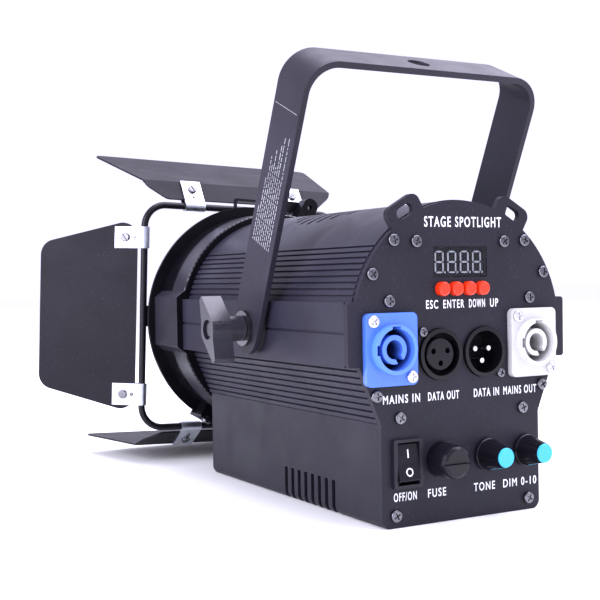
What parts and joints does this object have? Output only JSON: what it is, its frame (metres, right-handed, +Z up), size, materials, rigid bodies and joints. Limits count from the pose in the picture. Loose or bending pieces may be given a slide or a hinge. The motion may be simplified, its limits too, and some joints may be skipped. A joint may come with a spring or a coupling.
{
  "type": "ellipsoidal spotlight",
  "caption": "Compact LED stage spotlight with ribbed tube body, tilting yoke, four-leaf barn doors and rear power, signal and dimmer controls.",
  "frame": {"origin": "centre of the base's flat underside, straight below the tilt axis", "axes": "+Y along the beam, +X to the right as seen from behind the controls, +Z up"},
  "size_m": [0.2318, 0.3006, 0.2111],
  "materials": {
    "housing_paint": "fine-texture satin black powder coat",
    "tube_finish": "satin black painted extruded aluminium",
    "bezel_finish": "moulded black plastic, lightly textured",
    "yoke_paint": "satin black painted steel strip",
    "door_paint": "satin black painted steel sheet and wire",
    "zinc_plate": "bright zinc plate",
    "black_screws": "black oxide steel",
    "plain_steel": "bright steel",
    "clamp_plastic": "black glass-filled nylon",
    "lens_glass": "clear polished glass",
    "gasket_rubber": "black silicone rubber",
    "reflector_metal": "bright anodised spun aluminium",
    "raw_aluminium": "extruded natural aluminium",
    "led_ceramic": "white ceramic board with yellow phosphor",
    "board_green": "green solder mask",
    "inner_plastic": "black moulded plastic",
    "display_face": "dark digit block",
    "display_glass": "smoked acrylic",
    "button_red": "glossy red plastic",
    "socket_blue": "blue moulded nylon",
    "socket_grey": "light grey moulded nylon",
    "socket_black": "black moulded nylon",
    "fuse_glass": "glass tube with metal ends",
    "knob_black": "black soft-touch plastic",
    "knob_blue": "cyan plastic"
  },
  "bodies": {
    "housing": {"rear_panel": "housing_paint", "base_cover": "housing_paint", "body_extrusion": "tube_finish", "front_housing": "bezel_finish", "lens_bezel": "bezel_finish", "panel_screws": "black_screws", "socket_screws": "black_screws", "holder_screws": "black_screws", "holder_clips": "black_screws", "inner_screws": "plain_steel", "rail_nuts": "plain_steel", "clamp_washers": "plain_steel", "signal_in_pins": "plain_steel", "lens_retaining_ring": "plain_steel", "friction_discs": "clamp_plastic", "front_lens": "lens_glass", "lens_gasket": "gasket_rubber", "reflector": "reflector_metal", "heat_sink": "raw_aluminium", "led_module": "led_ceramic", "power_board": "board_green", "control_board": "board_green", "fan_frame": "inner_plastic", "board_posts": "inner_plastic", "control_bodies": "inner_plastic", "display_module": "display_face", "display_window": "display_glass", "power_in_socket": "socket_blue", "power_out_socket": "socket_grey", "signal_out_insert": "socket_black", "signal_in_insert": "socket_black", "signal_out_shell": "socket_black", "signal_in_shell": "socket_black", "fuse_holder": "socket_black", "switch_body": "socket_black", "glass_fuse": "fuse_glass"},
    "yoke": {"yoke": "yoke_paint"},
    "clamp_left": {"clamp_knob_left": "clamp_plastic"},
    "clamp_right": {"clamp_knob_right": "clamp_plastic"},
    "barn_frame": {"barn_door_frame": "door_paint"},
    "flap_top": {"flap_top": "door_paint", "clips_top": "zinc_plate"},
    "flap_right": {"flap_right": "door_paint", "clips_right": "zinc_plate"},
    "flap_bottom": {"flap_bottom": "door_paint", "clips_bottom": "zinc_plate"},
    "flap_left": {"flap_left": "door_paint", "clips_left": "zinc_plate"},
    "latch": {"accessory_latch": "black_screws"},
    "button_1": {"menu_button_1": "button_red"},
    "button_2": {"menu_button_2": "button_red"},
    "button_3": {"menu_button_3": "button_red"},
    "button_4": {"menu_button_4": "button_red"},
    "rocker": {"switch_rocker": "socket_black"},
    "fuse_cap": {"fuse_cap": "socket_black"},
    "knob_left": {"knob_left": "knob_black", "knob_cap_left": "knob_blue"},
    "knob_right": {"knob_right": "knob_black", "knob_cap_right": "knob_blue"},
    "fan": {"fan_rotor": "inner_plastic"}
  },
  "joints": [
    {"name": "yoke_tilt", "type": "hinge", "parent": "housing", "child": "yoke", "pos_m": [0, 0, 0.084], "axis": [1, 0, 0], "range_deg": [-70, 90]},
    {"name": "clamp_left_turn", "type": "hinge", "parent": "housing", "child": "clamp_left", "pos_m": [-0.07, 0, 0.084], "axis": [-1, 0, 0], "range_deg": [-360, 0]},
    {"name": "clamp_right_turn", "type": "hinge", "parent": "housing", "child": "clamp_right", "pos_m": [0.07, 0, 0.084], "axis": [1, 0, 0], "range_deg": [-360, 0]},
    {"name": "barn_door_turn", "type": "hinge", "parent": "housing", "child": "barn_frame", "pos_m": [0, 0.131, 0.0845], "axis": [0, 1, 0], "continuous": true},
    {"name": "flap_top_hinge", "type": "hinge", "parent": "barn_frame", "child": "flap_top", "pos_m": [0.00261, 0.131, 0.14945], "axis": [0.9992, 0, -0.0401], "range_deg": [-88, 34]},
    {"name": "flap_right_hinge", "type": "hinge", "parent": "barn_frame", "child": "flap_right", "pos_m": [0.06495, 0.131, 0.08189], "axis": [-0.0401, 0, -0.9992], "range_deg": [-128, 40]},
    {"name": "flap_bottom_hinge", "type": "hinge", "parent": "barn_frame", "child": "flap_bottom", "pos_m": [-0.00261, 0.131, 0.01955], "axis": [-0.9992, 0, 0.0401], "range_deg": [-69, 50]},
    {"name": "flap_left_hinge", "type": "hinge", "parent": "barn_frame", "child": "flap_left", "pos_m": [-0.06495, 0.131, 0.08711], "axis": [0.0401, 0, 0.9992], "range_deg": [-128, 40]},
    {"name": "latch_swing", "type": "hinge", "parent": "housing", "child": "latch", "pos_m": [0.0394, 0.125, 0.1505], "axis": [0, 1, 0], "range_deg": [0, 100]},
    {"name": "button_1_press", "type": "slide", "parent": "housing", "child": "button_1", "axis": [0, 1, 0], "range_m": [0, 0.0008], "stiffness_N_per_m": 400, "springref_m": -0.001},
    {"name": "button_2_press", "type": "slide", "parent": "housing", "child": "button_2", "axis": [0, 1, 0], "range_m": [0, 0.0008], "stiffness_N_per_m": 400, "springref_m": -0.001},
    {"name": "button_3_press", "type": "slide", "parent": "housing", "child": "button_3", "axis": [0, 1, 0], "range_m": [0, 0.0008], "stiffness_N_per_m": 400, "springref_m": -0.001},
    {"name": "button_4_press", "type": "slide", "parent": "housing", "child": "button_4", "axis": [0, 1, 0], "range_m": [0, 0.0008], "stiffness_N_per_m": 400, "springref_m": -0.001},
    {"name": "rocker_tilt", "type": "hinge", "parent": "housing", "child": "rocker", "pos_m": [-0.0305, -0.083, 0.0275], "axis": [1, 0, 0], "range_deg": [0, 18]},
    {"name": "fuse_cap_turn", "type": "hinge", "parent": "housing", "child": "fuse_cap", "pos_m": [-0.012, -0.09, 0.0275], "axis": [0, 1, 0], "range_deg": [0, 90]},
    {"name": "knob_left_turn", "type": "hinge", "parent": "housing", "child": "knob_left", "pos_m": [0.013, -0.09, 0.0275], "axis": [0, 1, 0], "range_deg": [-140, 140]},
    {"name": "knob_right_turn", "type": "hinge", "parent": "housing", "child": "knob_right", "pos_m": [0.035, -0.09, 0.0275], "axis": [0, 1, 0], "range_deg": [-140, 140]},
    {"name": "fan_spin", "type": "hinge", "parent": "housing", "child": "fan", "pos_m": [0, 0.0036, 0.119], "axis": [0, 0, 1], "continuous": true}
  ]
}
